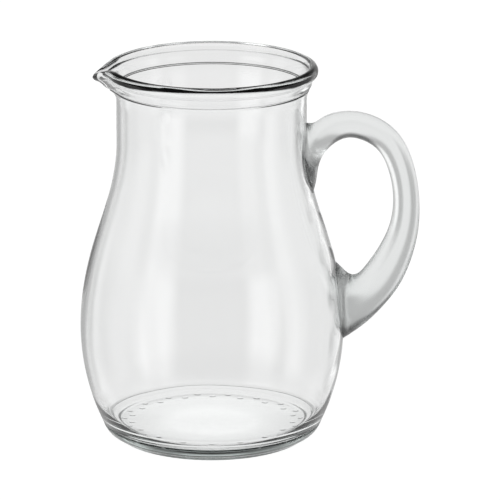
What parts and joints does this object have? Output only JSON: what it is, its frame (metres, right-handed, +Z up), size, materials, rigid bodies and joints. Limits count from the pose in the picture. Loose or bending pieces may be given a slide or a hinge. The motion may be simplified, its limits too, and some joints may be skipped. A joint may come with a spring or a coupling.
{
  "type": "glass water jug",
  "caption": "Open glass water jug with a rounded belly, a plain neck, a flared lip with a pouring beak and a solid loop handle.",
  "frame": {"origin": "centre of the foot's resting plane, on the axis of the jug", "axes": "+Z up out of the mouth, +X towards the handle, -X towards the pouring beak, +Y across the handle"},
  "size_m": [0.1697, 0.1322, 0.1909],
  "materials": {
    "body_glass": "clear blown glass, fire-polished",
    "handle_glass": "clear solid glass, fire-polished"
  },
  "bodies": {
    "root": {"jug_body": "body_glass", "handle": "handle_glass"}
  },
  "joints": []
}
